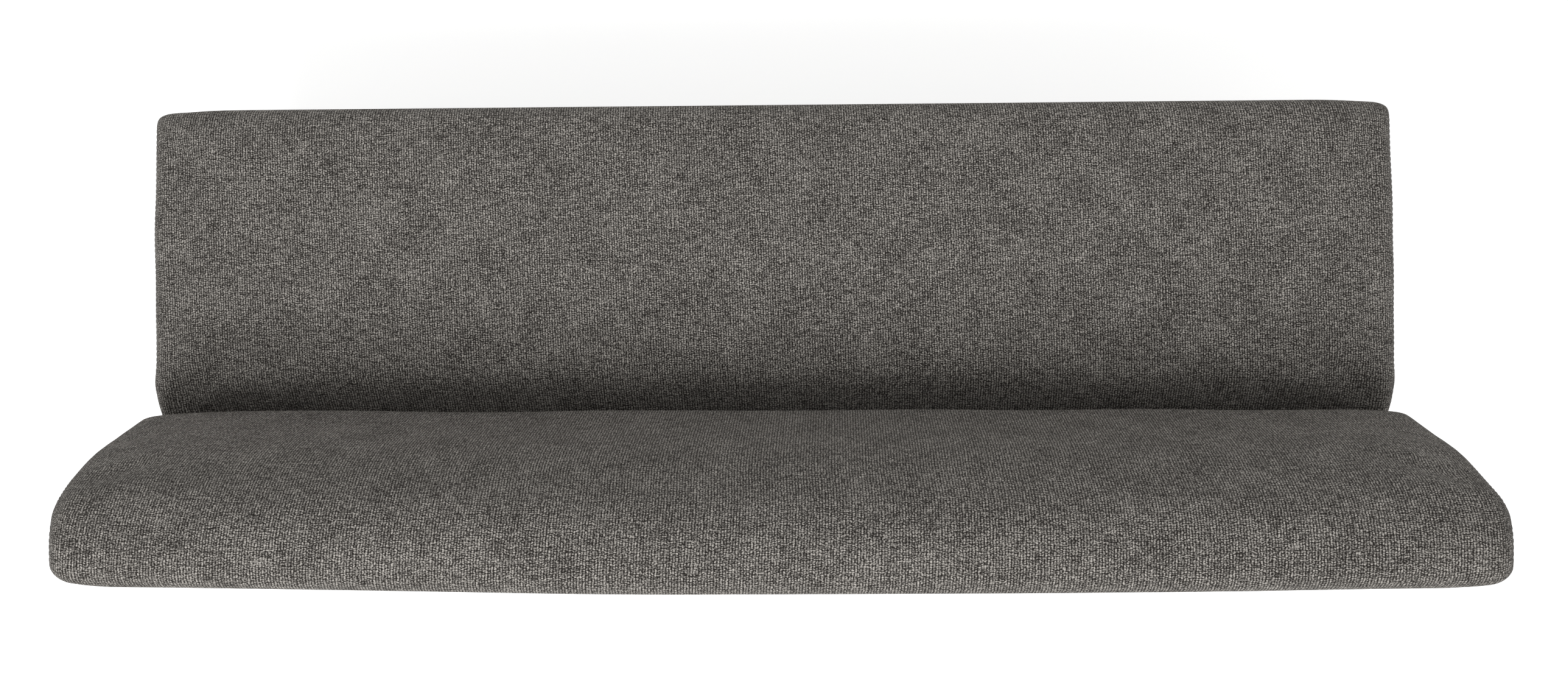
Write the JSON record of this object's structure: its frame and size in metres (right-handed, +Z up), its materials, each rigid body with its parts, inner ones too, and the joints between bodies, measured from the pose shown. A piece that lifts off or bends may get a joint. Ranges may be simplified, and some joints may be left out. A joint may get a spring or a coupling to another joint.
{
  "type": "upholstered dining bench",
  "caption": "Long upholstered dining bench with a padded seat, a reclined padded back with a rolled top, woven grey cover and splayed tube legs.",
  "frame": {"origin": "on the floor under the middle of the bench: bottom centre of its box", "axes": "+X along the bench towards the sitter's left, -Y to the front, +Y to the back, +Z up"},
  "size_m": [1.8, 0.6517, 0.87],
  "materials": {
    "frame_timber": "sawn and planed, unfinished",
    "hardboard": "smooth face out",
    "elastic_webbing": "woven elastic",
    "felt": "needled felt",
    "wrapped_foam": "foam wrapped in wadding",
    "woven_cover": "chunky plain weave, matte",
    "dust_cloth": "thin non-woven cloth",
    "leg_steel": "satin powder coat",
    "glide_plastic": "moulded, matte",
    "screw_steel": "zinc plated"
  },
  "bodies": {
    "root": {"front_rail": "frame_timber", "rear_rail": "frame_timber", "left_side_rail": "frame_timber", "right_side_rail": "frame_timber", "cross_rail_1": "frame_timber", "cross_rail_2": "frame_timber", "cross_rail_3": "frame_timber", "back_post_1": "frame_timber", "back_post_2": "frame_timber", "back_post_3": "frame_timber", "back_post_4": "frame_timber", "back_top_rail": "frame_timber", "back_lower_rail": "frame_timber", "left_front_leg_block": "frame_timber", "left_rear_leg_block": "frame_timber", "right_front_leg_block": "frame_timber", "right_rear_leg_block": "frame_timber", "seat_cross_webbing": "elastic_webbing", "seat_long_webbing": "elastic_webbing", "back_webbing": "elastic_webbing", "seat_felt": "felt", "back_felt": "felt", "seat_foam": "wrapped_foam", "back_foam": "wrapped_foam", "seat_cover": "woven_cover", "back_cover": "woven_cover", "outside_back_panel": "woven_cover", "left_front_leg": "leg_steel", "left_rear_leg": "leg_steel", "right_front_leg": "leg_steel", "right_rear_leg": "leg_steel", "back_board": "hardboard", "dust_cover": "dust_cloth", "floor_glides": "glide_plastic", "post_screws": "screw_steel"}
  },
  "joints": []
}
